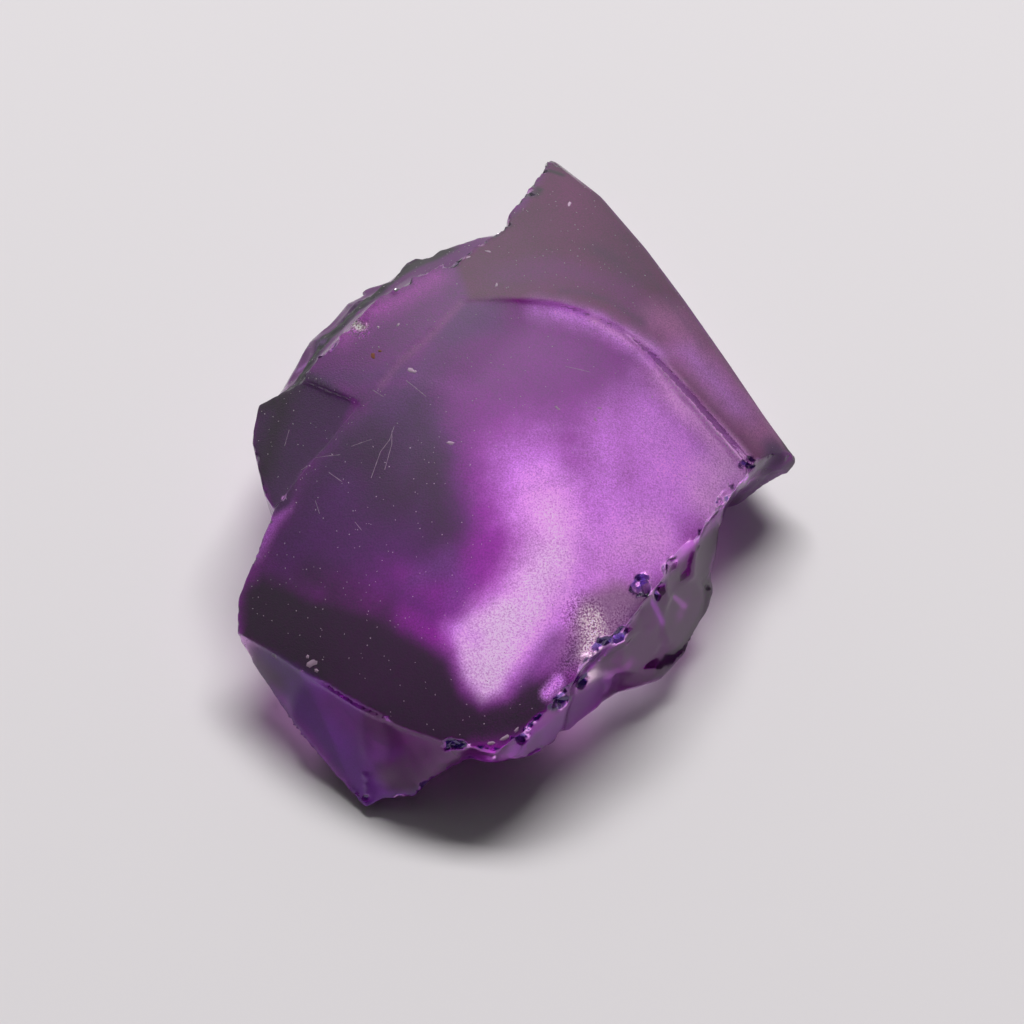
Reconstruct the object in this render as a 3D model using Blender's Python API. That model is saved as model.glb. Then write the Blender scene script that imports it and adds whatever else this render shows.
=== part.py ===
"""Rough alexandrite: one broken piece of a violet crystal boule, resting on z = 0.

Metres, +Z up. The origin is the middle of the stone's box in plan, on the floor.
The stone is lofted as a block with its broken walls, then carved from above in the
order it was made: the domed ground skin, the lower main face, the flat left facet,
then the flakes that left conchoidal hollows and the small chips along the edges.
"""
import math
import random

import bmesh
import bpy
from mathutils import Matrix, Vector, noise
from mathutils.bvhtree import BVHTree
from mathutils.geometry import intersect_point_line

MM = 0.001

# ---------------------------------------------------------------- driving dimensions
# Domed skin, in mm and degrees.
CROWN = (-1.8, 1.6)
CROWN_HEIGHT = 9.8
LONG_RADIUS = 25.0
SHORT_RADIUS = 16.0
LONG_AXIS = 106.0
SKIN_ROLL = 1.8
SKIN_ROLL_TURN = 50.0
SKIN_ROLL_DROP = 0.98
SKIN_ROLL_INWARD = (-0.81, -0.58)
SKIN_ROLL_RIBS = 7

# Main face: a second, slightly lower surface inside a corner, an arc and a line.
FACE_CORNER = (-2.4, 5.0)
FACE_ARC_CENTRE = (1.0, -2.85)
FACE_ARC_RADIUS = 8.0
FACE_ARC_END = 51.0
FACE_LINE_END = (10.6, -0.9)
FACE_LEFT_END = (-10.9, -3.9)
FACE_STEP = 0.52
FACE_STEP_GAIN = 0.035
FACE_FILLET = 1.7
FACE_FILLET_END = (4.5, 7.0)
FACE_FADE = 3.0
FACE_LEAST_STEP = 0.06

# Flat left facet: three points of its plane.
LEFT_FACET = ((-7.0, 0.0, 8.75), (-9.7, 1.8, 7.75), (-10.9, -3.9, 6.0))

GRID = 0.54
COLUMN = 0.78
BLOCK_TOP = 12.0

# Ribs, clockwise from above: name, top edge x y, belly x y z, foot x y, roughness.
RIBS = (
    ("tip", 2.0, 16.3, 1.8, 15.8, 1.8, 1.3, 13.0, 0.3),
    ("skin edge 1", 4.1, 13.8, 4.2, 13.4, 1.8, 3.2, 11.4, 0.1),
    ("skin edge 2", 6.1, 10.5, 6.4, 10.2, 1.8, 5.1, 8.8, 0.1),
    ("skin edge 3", 7.9, 7.5, 8.1, 7.2, 1.8, 6.7, 5.8, 0.1),
    ("skin edge 4", 9.7, 4.7, 9.8, 4.4, 1.8, 7.9, 3.1, 0.1),
    ("skin edge 5", 11.4, 2.3, 11.2, 2.1, 1.8, 8.5, 1.1, 0.1),
    ("right corner", 12.7, 0.8, 12.3, 0.6, 1.6, 8.6, -0.2, 0.2),
    ("strip end", 11.8, 0.0, 11.4, -0.3, 1.8, 8.1, -1.0, 0.5),
    ("step end", 10.6, -0.9, 10.4, -1.1, 2.4, 7.8, -2.0, 0.5),
    ("right edge 1", 9.8, -2.1, 9.5, -2.4, 3.0, 7.4, -3.0, 0.6),
    ("right edge 2", 8.8, -3.9, 9.1, -3.9, 2.8, 7.1, -4.6, 0.8),
    ("right edge 3", 7.6, -5.6, 8.9, -5.6, 2.4, 7.0, -6.0, 1.0),
    ("right edge 4", 6.5, -6.9, 8.6, -7.1, 1.9, 6.6, -7.2, 1.0),
    ("right edge 5", 5.8, -7.9, 7.9, -8.5, 1.6, 6.2, -8.2, 1.0),
    ("right edge 6", 5.0, -9.0, 6.5, -10.0, 1.2, 5.2, -9.2, 1.0),
    ("right edge 7", 4.0, -10.3, 4.6, -10.5, 1.0, 3.8, -9.9, 1.0),
    ("right edge 8", 2.9, -11.4, 3.3, -11.4, 1.4, 2.2, -10.3, 1.0),
    ("front edge 1", 1.8, -12.5, 2.2, -12.9, 2.2, 0.8, -10.9, 1.0),
    ("front edge 2", 0.5, -13.7, 0.9, -14.1, 2.9, -0.2, -11.4, 1.0),
    ("front corner", -1.0, -14.6, -1.0, -14.6, 2.9, -1.8, -12.2, 0.8),
    ("front notch", -2.1, -14.4, -2.2, -14.3, 2.6, -2.9, -12.6, 0.5),
    ("toe right 1", -3.0, -14.3, -3.8, -15.1, 1.6, -3.8, -13.6, 0.3),
    ("toe right 2", -4.1, -13.9, -4.7, -15.6, 1.0, -4.6, -14.3, 0.3),
    ("toe hook", -5.2, -13.5, -6.1, -15.5, 0.7, -5.8, -14.6, 0.2),
    ("toe tip", -7.2, -12.5, -6.8, -15.9, 0.35, -6.6, -15.3, 0.2),
    ("toe left 1", -8.2, -11.8, -8.4, -14.2, 0.8, -7.4, -13.6, 0.2),
    ("toe left 2", -9.2, -11.1, -9.7, -12.7, 1.3, -8.0, -11.5, 0.2),
    ("toe left 3", -11.1, -9.7, -11.1, -10.8, 1.9, -8.4, -9.2, 0.2),
    ("left corner", -12.6, -8.6, -12.5, -8.9, 2.1, -8.4, -7.0, 0.3),
    ("left edge 1", -12.5, -7.2, -12.3, -7.2, 2.1, -8.2, -5.6, 0.4),
    ("left edge 2", -11.7, -5.6, -11.5, -5.7, 2.2, -8.0, -4.4, 0.4),
    ("left notch", -10.9, -3.9, -10.6, -4.1, 2.8, -7.8, -3.2, 0.4),
    ("left facet 1", -11.4, -3.0, -11.2, -2.8, 2.8, -8.0, -2.2, 0.5),
    ("left facet 2", -12.1, -0.2, -12.0, 0.0, 2.6, -8.4, 0.0, 0.6),
    ("left facet 3", -11.8, 1.3, -12.0, 1.8, 2.8, -8.5, 1.6, 0.6),
    ("ledge start", -10.6, 1.6, -11.7, 2.8, 3.2, -8.3, 2.6, 0.8),
    ("ledge 1", -9.7, 1.8, -11.0, 4.1, 3.6, -8.8, 3.7, 0.8),
    ("ledge 2", -8.8, 3.1, -10.3, 6.0, 3.6, -8.1, 5.2, 0.8),
    ("ledge 3", -7.7, 4.2, -9.0, 7.6, 3.7, -7.0, 6.4, 0.8),
    ("ledge 4", -6.6, 5.3, -7.6, 9.1, 3.8, -5.8, 7.7, 0.8),
    ("ledge 5", -4.7, 6.8, -5.6, 11.0, 3.8, -4.2, 9.2, 0.8),
    ("ledge end", -3.1, 7.3, -3.5, 12.8, 4.0, -2.9, 10.2, 0.6),
    ("back notch", -1.6, 8.7, -2.1, 12.9, 4.0, -1.8, 10.6, 0.6),
    ("back edge 1", -0.4, 10.1, -0.8, 12.6, 3.4, -0.8, 11.2, 0.4),
    ("back edge 2", 0.5, 12.0, 0.2, 13.7, 2.8, 0.1, 12.2, 0.4),
    ("back edge 3", 1.3, 14.1, 1.1, 14.9, 2.2, 0.7, 12.8, 0.4),
)
ROWS_BELOW_BELLY = 5
ROWS_ABOVE_BELLY = 6
ROWS_IN_ROLL = 4
FRACTURE_SWELL = 0.34
FRACTURE_GRAIN = 0.12

# Conchoidal flakes: near point x y z, way the hollow faces x y z, radius, depth.
FLAKES = (
    ("right mass 1", 9.1, -4.4, 3.3, 0.85, -0.35, 0.35, 4.2, 0.38),
    ("right mass 2", 8.2, -7.0, 2.9, 0.78, -0.48, 0.40, 3.8, 0.40),
    ("right mass 3", 6.2, -9.0, 2.8, 0.62, -0.66, 0.42, 3.6, 0.38),
    ("right mass 4", 7.4, -6.4, 4.9, 0.72, -0.50, 0.48, 4.4, 0.26),
    ("right mass 5", 4.0, -10.8, 3.4, 0.52, -0.74, 0.42, 3.4, 0.28),
    ("strip end", 11.2, -0.6, 2.9, 0.50, -0.80, -0.30, 4.6, 0.30),
    ("front lower", 2.2, -12.6, 2.2, 0.45, -0.85, -0.25, 3.4, 0.24),
    ("toe right", -3.2, -14.4, 1.4, 0.60, -0.60, -0.50, 3.4, 0.22),
    ("left wall", -11.4, -6.4, 1.8, -0.90, 0.10, -0.42, 4.6, 0.24),
    ("left facet wall", -11.9, -0.6, 3.2, -0.95, -0.05, -0.30, 4.8, 0.34),
    ("ledge 1", -10.2, 4.3, 5.0, -0.80, 0.35, 0.48, 4.0, 0.34),
    ("ledge 2", -8.8, 6.6, 5.4, -0.66, 0.56, 0.50, 4.2, 0.38),
    ("ledge 3", -6.9, 8.7, 5.6, -0.56, 0.66, 0.50, 4.4, 0.42),
    ("ledge 4", -4.6, 10.4, 5.8, -0.36, 0.78, 0.52, 4.0, 0.38),
    ("ledge 5", -2.8, 11.6, 5.4, -0.30, 0.84, 0.44, 3.4, 0.30),
    ("back hollow", -0.6, 11.9, 4.2, -0.85, 0.50, 0.00, 5.6, 0.50),
)

# Flat breaks: near point x y z, way the break faces x y z, depth.
BREAKS = (
    ("under left", -10.0, -6.6, 1.0, -0.55, 0.05, -0.84, 0.25),
    ("under left facet", -10.4, 1.0, 1.2, -0.70, 0.10, -0.71, 0.40),
    ("under ledge", -9.2, 6.6, 1.4, -0.70, 0.60, -0.40, 0.25),
    ("under tip", 1.4, 14.9, 1.0, -0.30, 0.55, -0.78, 0.30),
    ("under right corner", 10.8, 0.2, 1.0, 0.45, -0.10, -0.89, 0.35),
    ("under right mass", 8.0, -7.4, 0.9, 0.60, -0.30, -0.74, 0.20),
)
BREAK_SIZE = 6.0

# Runs of small chips along broken edges: start x y, end x y, count, radius low, high.
CHIP_RUNS = (
    ("right edge upper", 10.3, -2.1, 6.9, -7.2, 11, 0.18, 0.42),
    ("right edge lower", 6.6, -7.5, 1.6, -13.3, 8, 0.18, 0.36),
    ("ledge edge", -9.9, 2.2, -3.6, 7.6, 10, 0.18, 0.44),
)
PITS = (
    ("right edge pit", 5.4, -7.7, 0.55),
    ("ledge edge pit", -7.2, 4.1, 0.48),
)
CHIP_SEED = 41


def skin_height(x, y):
    """Height of the domed skin in mm, without its rolled edge."""
    turn = math.radians(LONG_AXIS)
    dx = x - CROWN[0]
    dy = y - CROWN[1]
    along = dx * math.cos(turn) + dy * math.sin(turn)
    across = dy * math.cos(turn) - dx * math.sin(turn)
    return CROWN_HEIGHT - along ** 2 / (2 * LONG_RADIUS) - across ** 2 / (2 * SHORT_RADIUS)


def distance_to_line(x, y, start, end):
    """Distance in plan from a point to a straight stretch."""
    point = Vector((x, y, 0.0))
    a = Vector((start[0], start[1], 0.0))
    b = Vector((end[0], end[1], 0.0))
    foot, share = intersect_point_line(point, a, b)
    foot = a.lerp(b, min(1.0, max(0.0, share)))
    return (point - foot).length


def arc_end():
    """Where the main face's arc gives way to its straight line."""
    turn = math.radians(FACE_ARC_END)
    x = FACE_ARC_CENTRE[0] + FACE_ARC_RADIUS * math.cos(turn)
    y = FACE_ARC_CENTRE[1] + FACE_ARC_RADIUS * math.sin(turn)
    return x, y


def face_rim():
    """The closed side of the main face in plan: corner, arc and straight line."""
    rim = [FACE_CORNER]
    turn = 90.0
    while turn > FACE_ARC_END:
        x = FACE_ARC_CENTRE[0] + FACE_ARC_RADIUS * math.cos(math.radians(turn))
        y = FACE_ARC_CENTRE[1] + FACE_ARC_RADIUS * math.sin(math.radians(turn))
        rim.append((x, y))
        turn -= 5.0
    rim.append(arc_end())
    rim.append(beyond(arc_end(), FACE_LINE_END, 4.0))
    return rim


def face_height(x, y):
    """Height of the main face: the skin less a step with a concave fillet."""
    rim = face_rim()
    inside = min(distance_to_line(x, y, a, b) for a, b in zip(rim, rim[1:]))
    start, end = FACE_FILLET_END
    share = min(1.0, max(0.0, (end - x) / (end - start)))
    fillet = 1.0 - 0.6 * share * max(0.0, 1.0 - inside / FACE_FILLET) ** 2
    fade = min(1.0, distance_to_line(x, y, FACE_CORNER, FACE_LEFT_END) / FACE_FADE)
    step = (FACE_STEP + FACE_STEP_GAIN * x) * fillet * fade
    return skin_height(x, y) - max(FACE_LEAST_STEP, step)


def new_object(name, mesh, collection):
    obj = bpy.data.objects.new(name, mesh)
    collection.objects.link(obj)
    return obj


def object_from_bmesh(name, bm, collection):
    bmesh.ops.recalc_face_normals(bm, faces=bm.faces)
    mesh = bpy.data.meshes.new(name)
    bm.to_mesh(mesh)
    bm.free()
    return new_object(name, mesh, collection)


def rib_rings(index):
    """Foot, belly and shoulder points of one rib in mm, its roughness and its roll."""
    name, rim_x, rim_y, belly_x, belly_y, belly_z, foot_x, foot_y, rough = RIBS[index]
    rolled = 1.0 if index < SKIN_ROLL_RIBS else 0.0
    rim_z = min(skin_height(rim_x, rim_y), face_height(rim_x, rim_y)) - 0.3
    if rolled:
        rim_z = skin_height(rim_x, rim_y) - SKIN_ROLL_DROP
    foot = Vector((foot_x, foot_y, 0.0))
    belly = Vector((belly_x, belly_y, belly_z))
    shoulder = Vector((rim_x, rim_y, rim_z))
    return foot, belly, shoulder, rough, rolled


def column_points(foot, belly, shoulder, rolled):
    """Points up one column of the wall, each with its share of fracture relief."""
    points = []
    for row in range(ROWS_BELOW_BELLY):
        share = row / ROWS_BELOW_BELLY
        points.append((foot.lerp(belly, share), min(1.0, 2.0 * share)))
    for row in range(ROWS_ABOVE_BELLY + 1):
        share = row / ROWS_ABOVE_BELLY
        points.append((belly.lerp(shoulder, share), 1.0 - 0.75 * share))
    inward = Vector((SKIN_ROLL_INWARD[0], SKIN_ROLL_INWARD[1], 0.0)) * rolled
    for row in range(ROWS_IN_ROLL):
        turn = math.radians(SKIN_ROLL_TURN) * (row + 1) / ROWS_IN_ROLL
        rise = Vector((0.0, 0.0, math.sin(turn)))
        point = shoulder + (inward * (1.0 - math.cos(turn)) + rise) * SKIN_ROLL
        points.append((point, 0.25))
    points.append((Vector((point.x, point.y, BLOCK_TOP)), 0.25))
    return points


def fracture_offset(point, amount):
    """Uneven relief of broken crystal, in mm."""
    offset = Vector((0.0, 0.0, 0.0))
    for axis in range(3):
        shift = Vector((17.0 * axis + 3.0, -9.0 * axis, 5.0 * axis))
        offset[axis] = noise.noise(point / 2.6 + shift) * FRACTURE_SWELL
        offset[axis] += noise.noise(point / 0.85 + shift) * FRACTURE_GRAIN
    offset.z *= 0.6
    return offset * amount


def loft_columns():
    """All columns of wall points, with extra columns between the named ribs."""
    columns = []
    count = len(RIBS)
    for index in range(count):
        near = rib_rings(index)
        far = rib_rings((index + 1) % count)
        gap = max((near[k] - far[k]).length for k in (1, 2))
        steps = max(1, round(gap / COLUMN))
        for step in range(steps):
            share = step / steps
            rings = [near[k].lerp(far[k], share) for k in range(3)]
            rough = near[3] + (far[3] - near[3]) * share
            rolled = near[4] + (far[4] - near[4]) * share
            column = []
            for point, relief in column_points(*rings, rolled):
                key = Vector((point.x, point.y, min(point.z, rings[2].z)))
                moved = point + fracture_offset(key, relief * rough)
                if point.z <= 0.0:
                    moved.z = 0.0
                column.append(moved)
            columns.append(column)
    return columns


def loft_block(collection):
    """The stone's broken walls, standing tall enough to be carved from above."""
    bm = bmesh.new()
    grid = [[bm.verts.new(p * MM) for p in column] for column in loft_columns()]
    rows = len(grid[0])
    for index, column in enumerate(grid):
        other = grid[(index + 1) % len(grid)]
        for row in range(rows - 1):
            bm.faces.new((column[row], other[row], other[row + 1], column[row + 1]))
    bm.faces.new([column[0] for column in grid])
    bm.faces.new([column[-1] for column in grid])
    bmesh.ops.triangulate(bm, faces=bm.faces)
    return object_from_bmesh("rough_alexandrite", bm, collection)


def block_above(name, height, low, high, collection):
    """A closed block whose underside follows a height function."""
    across = math.ceil((high[0] - low[0]) / GRID)
    deep = math.ceil((high[1] - low[1]) / GRID)
    bm = bmesh.new()
    under = []
    over = []
    for j in range(deep + 1):
        for i in range(across + 1):
            x = low[0] + (high[0] - low[0]) * i / across
            y = low[1] + (high[1] - low[1]) * j / deep
            under.append(bm.verts.new(Vector((x, y, height(x, y))) * MM))
            over.append(bm.verts.new(Vector((x, y, BLOCK_TOP + 2.0)) * MM))
    row = across + 1
    for j in range(deep):
        for i in range(across):
            k = j * row + i
            for layer in (under, over):
                bm.faces.new((layer[k], layer[k + 1], layer[k + row + 1], layer[k + row]))
    ring = [i for i in range(across)]
    ring += [j * row + across for j in range(deep)]
    ring += [deep * row + across - i for i in range(across)]
    ring += [(deep - j) * row for j in range(deep)]
    for a, b in zip(ring, ring[1:] + ring[:1]):
        bm.faces.new((under[a], under[b], over[b], over[a]))
    bmesh.ops.triangulate(bm, faces=bm.faces)
    return object_from_bmesh(name, bm, collection)


def prism(name, outline, bottom, top, collection):
    """A closed prism over a plan outline, with a flat or sloping underside."""
    bm = bmesh.new()
    low = [bm.verts.new(Vector((x, y, bottom(x, y))) * MM) for x, y in outline]
    high = [bm.verts.new(Vector((x, y, top)) * MM) for x, y in outline]
    count = len(outline)
    for i in range(count):
        j = (i + 1) % count
        bm.faces.new((low[i], low[j], high[j], high[i]))
    bm.faces.new(low)
    bm.faces.new(high)
    bmesh.ops.triangulate(bm, faces=bm.faces)
    return object_from_bmesh(name, bm, collection)


def boolean(target, cutter, operation="DIFFERENCE"):
    """Apply one exact Boolean and keep the cutter for reference."""
    modifier = target.modifiers.new("carve", "BOOLEAN")
    modifier.operation = operation
    modifier.solver = "EXACT"
    modifier.object = cutter
    depsgraph = bpy.context.evaluated_depsgraph_get()
    mesh = bpy.data.meshes.new_from_object(target.evaluated_get(depsgraph))
    target.modifiers.remove(modifier)
    old = target.data
    target.data = mesh
    bpy.data.meshes.remove(old)


def face_outline():
    """Plan of the main face, run well past the stone on its open sides."""
    open_side = [(15.0, -18.0), (-16.0, -18.0), beyond(FACE_CORNER, FACE_LEFT_END, 5.0)]
    return face_rim() + open_side


def beyond(start, end, extra):
    """The point a few millimetres past the end of a stretch in plan."""
    length = math.hypot(end[0] - start[0], end[1] - start[1])
    scale = (length + extra) / length
    return start[0] + (end[0] - start[0]) * scale, start[1] + (end[1] - start[1]) * scale


def carve_top(stone, cutters):
    """Skin dome, main face and flat left facet."""
    low = (-16.0, -19.0)
    high = (16.0, 19.0)
    skin = block_above("cut_skin", skin_height, low, high, cutters)
    boolean(stone, skin)
    face = block_above("cut_face", face_height, low, high, cutters)
    limit = prism("cut_face_limit", face_outline(), lambda x, y: 0.5, BLOCK_TOP + 1, cutters)
    boolean(face, limit, "INTERSECT")
    boolean(stone, face)
    a, b, c = [Vector(p) for p in LEFT_FACET]
    normal = (b - a).cross(c - a)
    def plane(x, y):
        return a.z - (normal.x * (x - a.x) + normal.y * (y - a.y)) / normal.z
    outline = [(a.x, a.y), beyond(a, b, 6.0), (-16.0, 0.0), (c.x - 4.0, c.y), (c.x, c.y)]
    facet = prism("cut_left_facet", outline, plane, BLOCK_TOP, cutters)
    boolean(stone, facet)


def flake_cutter(name, centre, radius, level, roughness, cutters):
    """A rounded lump that leaves a conchoidal hollow."""
    bm = bmesh.new()
    bmesh.ops.create_icosphere(bm, subdivisions=level, radius=radius * MM)
    for vert in bm.verts:
        wave = noise.noise(vert.co / MM / radius * 1.7 + centre)
        vert.co *= 1.0 + roughness * wave
        vert.co += centre * MM
    return object_from_bmesh(name, bm, cutters)


def surface_point(stone, near, facing):
    """Where the stone's surface lies near a point, looking in along a direction, in mm."""
    tree = BVHTree.FromObject(stone, bpy.context.evaluated_depsgraph_get())
    start = (near + facing * 8.0) * MM
    return tree.ray_cast(start, -facing)[0] / MM


def carve_flakes(stone, cutters):
    """The large conchoidal hollows on the broken walls."""
    for name, x, y, z, nx, ny, nz, radius, depth in FLAKES:
        facing = Vector((nx, ny, nz)).normalized()
        centre = surface_point(stone, Vector((x, y, z)), facing) + facing * (radius - depth)
        label = "cut_flake_" + name.replace(" ", "_")
        boolean(stone, flake_cutter(label, centre, radius, 3, 0.05, cutters))


def carve_breaks(stone, cutters):
    """Flat breaks low on the walls."""
    for name, x, y, z, nx, ny, nz, depth in BREAKS:
        facing = Vector((nx, ny, nz)).normalized()
        point = surface_point(stone, Vector((x, y, z)), facing) - facing * depth
        turn = facing.to_track_quat("Z", "Y").to_matrix().to_4x4()
        place = Matrix.Translation((point + facing * BREAK_SIZE / 2) * MM) @ turn
        bm = bmesh.new()
        bmesh.ops.create_cube(bm, size=BREAK_SIZE * MM, matrix=place)
        label = "cut_break_" + name.replace(" ", "_")
        boolean(stone, object_from_bmesh(label, bm, cutters))


def top_point(tree, x, y):
    """Highest point of the stone under a plan position, in mm, or None."""
    hit = tree.ray_cast(Vector((x, y, 20.0)) * MM, Vector((0.0, 0.0, -1.0)))[0]
    return None if hit is None else hit / MM


def carve_chips(stone, cutters):
    """Small chips along the broken edges and two larger pits."""
    dice = random.Random(CHIP_SEED)
    spots = []
    for name, x0, y0, x1, y1, count, small, large in CHIP_RUNS:
        for index in range(count):
            share = (index + dice.uniform(0.15, 0.85)) / count
            x = x0 + (x1 - x0) * share
            y = y0 + (y1 - y0) * share
            spots.append((x, y, dice.uniform(small, large)))
    spots += [(x, y, radius) for name, x, y, radius in PITS]
    for index, (x, y, radius) in enumerate(spots):
        tree = BVHTree.FromObject(stone, bpy.context.evaluated_depsgraph_get())
        point = nearest_top(tree, x, y)
        point.z += 0.35 * radius
        cutter = flake_cutter("cut_chip_%02d" % index, point, radius, 1, 0.25, cutters)
        boolean(stone, cutter)


def nearest_top(tree, x, y):
    """The stone's top at a plan position, or the nearest one towards its middle."""
    for step in range(40):
        share = step * 0.01
        point = top_point(tree, x * (1.0 - share), y * (1.0 - share))
        if point is not None and point.z > face_height(point.x, point.y) - 0.6:
            return point
    return Vector((x, y, skin_height(x, y)))


def splinters(bm):
    """The faces of every loose splinter: all but the largest piece."""
    pieces = []
    left = set(bm.faces)
    for first in list(bm.faces):
        if first not in left:
            continue
        left.discard(first)
        piece = [first]
        for face in piece:
            for edge in face.edges:
                if len(edge.link_faces) != 2:
                    continue
                for other in edge.link_faces:
                    if other in left:
                        left.discard(other)
                        piece.append(other)
        pieces.append(piece)
    pieces.sort(key=len)
    return [face for piece in pieces[:-1] for face in piece]


def clean(stone):
    """Drop splinters, merge slivers left by the cuts and leave plain triangles."""
    bm = bmesh.new()
    bm.from_mesh(stone.data)
    bmesh.ops.remove_doubles(bm, verts=bm.verts, dist=0.00002)
    bmesh.ops.dissolve_degenerate(bm, edges=bm.edges, dist=0.00001)
    bmesh.ops.delete(bm, geom=splinters(bm), context="FACES")
    bmesh.ops.triangulate(bm, faces=bm.faces)
    bmesh.ops.recalc_face_normals(bm, faces=bm.faces)
    bm.to_mesh(stone.data)
    bm.free()


def crystal_material():
    """Violet crystal, as a plain look for the solid."""
    material = bpy.data.materials.new("violet_crystal")
    material.use_nodes = True
    shader = material.node_tree.nodes["Principled BSDF"]
    shader.inputs["Base Color"].default_value = (0.235, 0.08, 0.34, 1.0)
    shader.inputs["Roughness"].default_value = 0.35
    shader.inputs["IOR"].default_value = 1.745
    shader.inputs["Transmission Weight"].default_value = 0.6
    return material


for leftover in list(bpy.data.objects):
    bpy.data.objects.remove(leftover)

parts = bpy.data.collections.new("rough_alexandrite")
bpy.context.scene.collection.children.link(parts)
cutters = bpy.data.collections.new("cutters")
bpy.context.scene.collection.children.link(cutters)

stone = loft_block(parts)
carve_top(stone, cutters)
carve_breaks(stone, cutters)
carve_flakes(stone, cutters)
carve_chips(stone, cutters)
clean(stone)
stone.data.materials.clear()
stone.data.materials.append(crystal_material())

for cutter in cutters.objects:
    cutter.hide_render = True
    cutter.display_type = "WIRE"
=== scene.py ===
import math
import random

import bmesh
import bpy
import numpy as np
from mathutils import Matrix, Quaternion, Vector, noise
from mathutils.bvhtree import BVHTree


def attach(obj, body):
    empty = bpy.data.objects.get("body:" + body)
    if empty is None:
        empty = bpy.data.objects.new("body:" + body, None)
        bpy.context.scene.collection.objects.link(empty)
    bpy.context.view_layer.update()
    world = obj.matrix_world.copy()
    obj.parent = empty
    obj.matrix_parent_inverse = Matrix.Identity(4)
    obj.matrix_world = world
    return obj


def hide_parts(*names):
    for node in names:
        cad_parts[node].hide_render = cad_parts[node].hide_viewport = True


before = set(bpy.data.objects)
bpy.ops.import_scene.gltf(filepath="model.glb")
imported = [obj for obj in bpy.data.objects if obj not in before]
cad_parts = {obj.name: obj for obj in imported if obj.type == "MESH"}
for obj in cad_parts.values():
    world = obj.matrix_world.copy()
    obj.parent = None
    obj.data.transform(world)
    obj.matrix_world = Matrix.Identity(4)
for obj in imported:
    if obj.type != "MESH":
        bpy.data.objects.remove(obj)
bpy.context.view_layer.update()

# ------------------------------------------------------------------ the stone's form
# One broken piece of a violet alexandrite boule. Its domed top was ground and left
# frosted; all its other sides broke away in glassy, shell-shaped (conchoidal)
# fractures. The solid gives the form and this section adds the fine relief.
MM = 0.001
WELD = 0.01
GRAIN_OF_MESH = 0.142
# Faces that meet at more than this many degrees make a true edge.
CREASE = 17.0
# Between these heights the relief fades out, so that the underside stays flat.
FLAT_FOOT = (0.05, 0.5)


def even_mesh(node):
    """The node's surface on an even mesh, laid back on the true surface."""
    bm = bmesh.new()
    bm.from_mesh(node.data)
    bmesh.ops.remove_doubles(bm, verts=bm.verts, dist=WELD * MM)
    surface = BVHTree.FromBMesh(bm)
    merged = bpy.data.meshes.new("merged_stone")
    bm.to_mesh(merged)
    bm.free()
    carrier = bpy.data.objects.new("carrier", merged)
    bpy.context.scene.collection.objects.link(carrier)
    remesh = carrier.modifiers.new("even", "REMESH")
    remesh.mode = "VOXEL"
    remesh.voxel_size = GRAIN_OF_MESH * MM
    depsgraph = bpy.context.evaluated_depsgraph_get()
    mesh = bpy.data.meshes.new_from_object(carrier.evaluated_get(depsgraph))
    bpy.data.objects.remove(carrier)
    for vertex in mesh.vertices:
        vertex.co = surface.find_nearest(vertex.co)[0]
    mesh.update()
    return mesh


def positions(mesh):
    """The vertices' places in mm."""
    flat = np.empty(len(mesh.vertices) * 3)
    mesh.vertices.foreach_get("co", flat)
    return flat.reshape(-1, 3) / MM


def set_positions(mesh, points):
    """Move the vertices to places given in mm."""
    mesh.vertices.foreach_set("co", (points * MM).ravel())
    mesh.update()


def normals(mesh):
    """The direction each vertex faces."""
    flat = np.empty(len(mesh.vertices) * 3)
    mesh.vertex_normals.foreach_get("vector", flat)
    return flat.reshape(-1, 3)


def edge_ends(mesh):
    """The two vertices of every edge."""
    flat = np.empty(len(mesh.edges) * 2, dtype=np.int64)
    mesh.edges.foreach_get("vertices", flat)
    return flat.reshape(-1, 2)


def neighbour_mean(values, ends):
    """For every vertex the mean of a value over its neighbours."""
    count = len(values)
    degree = np.bincount(ends.ravel(), minlength=count)
    columns = values.reshape(count, -1)
    sums = np.zeros_like(columns)
    for k in range(columns.shape[1]):
        sums[:, k] += np.bincount(ends[:, 0], columns[ends[:, 1], k], count)
        sums[:, k] += np.bincount(ends[:, 1], columns[ends[:, 0], k], count)
        sums[:, k] /= np.maximum(degree, 1)
    return sums.reshape(values.shape)


def bend_at_vertices(mesh, ends):
    """Largest angle in degrees between two faces that meet at each vertex."""
    face_normal = np.empty(len(mesh.polygons) * 3)
    mesh.polygon_normals.foreach_get("vector", face_normal)
    face_normal = face_normal.reshape(-1, 3)
    sides = np.empty(len(mesh.polygons), dtype=np.int64)
    mesh.polygons.foreach_get("loop_total", sides)
    loop_edge = np.empty(len(mesh.loops), dtype=np.int64)
    mesh.loops.foreach_get("edge_index", loop_edge)
    face_of_loop = np.repeat(np.arange(len(sides)), sides)
    pair = face_of_loop[np.argsort(loop_edge, kind="stable")].reshape(-1, 2)
    cosine = np.sum(face_normal[pair[:, 0]] * face_normal[pair[:, 1]], axis=1)
    bend = np.degrees(np.arccos(np.clip(cosine, -1.0, 1.0)))
    largest = np.zeros(len(mesh.vertices))
    np.maximum.at(largest, ends[:, 0], bend)
    np.maximum.at(largest, ends[:, 1], bend)
    return largest


def smoothstep(low, high, value):
    """0 below low, 1 above high and an eased rise between them."""
    share = np.clip((value - low) / (high - low), 0.0, 1.0)
    return share * share * (3.0 - 2.0 * share)


def noise_at(points, size, shift):
    """Smooth noise from -1 to 1 whose lumps are about size mm across."""
    return np.array([noise.noise(Vector(p)) for p in points / size + shift])


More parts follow.
